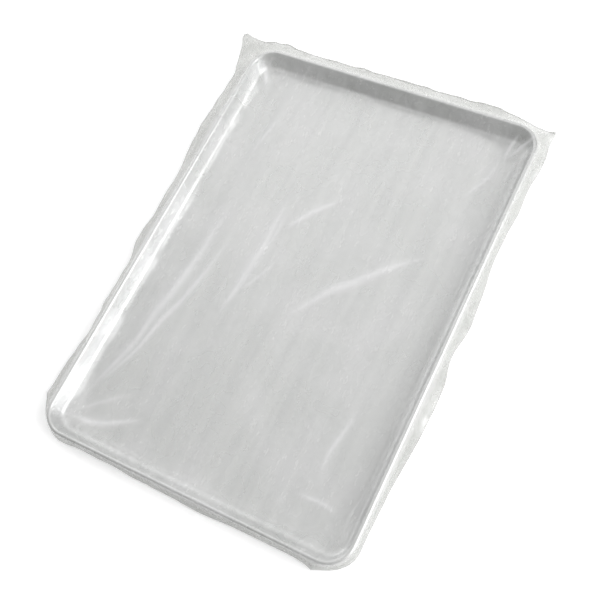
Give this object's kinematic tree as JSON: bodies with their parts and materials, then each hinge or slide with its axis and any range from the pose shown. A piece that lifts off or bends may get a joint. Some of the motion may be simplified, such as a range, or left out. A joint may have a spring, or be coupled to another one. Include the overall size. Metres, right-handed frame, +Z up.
{
  "type": "sheet pan in film bag",
  "caption": "Shallow rectangular aluminium baking tray with a curled, wire-stiffened rim, slipped into a clear film bag whose mouth is tucked under the tray.",
  "frame": {"origin": "centre of the pan, on the surface that the bagged pan rests on", "axes": "+Z up out of the tray, +Y along the pan towards the bag's sealed end, +X across the pan"},
  "size_m": [0.5142, 0.6954, 0.0269],
  "materials": {
    "pan_sheet": "satin",
    "rim_wire": "satin",
    "bag_film": "gloss",
    "bag_seal": "satin"
  },
  "bodies": {
    "pan": {"sheet_pan": "pan_sheet", "rim_wire": "rim_wire"},
    "bag": {"bag_top_film": "bag_film", "bag_bottom_film": "bag_film", "bag_mouth_fold": "bag_film", "bag_end_seal": "bag_seal"}
  },
  "joints": [
    {"name": "bag_pull_off", "type": "slide", "parent": "pan", "child": "bag", "axis": [0, 1, 0], "range_m": [0, 0.7], "deforming": ["bag_mouth_fold"]}
  ]
}
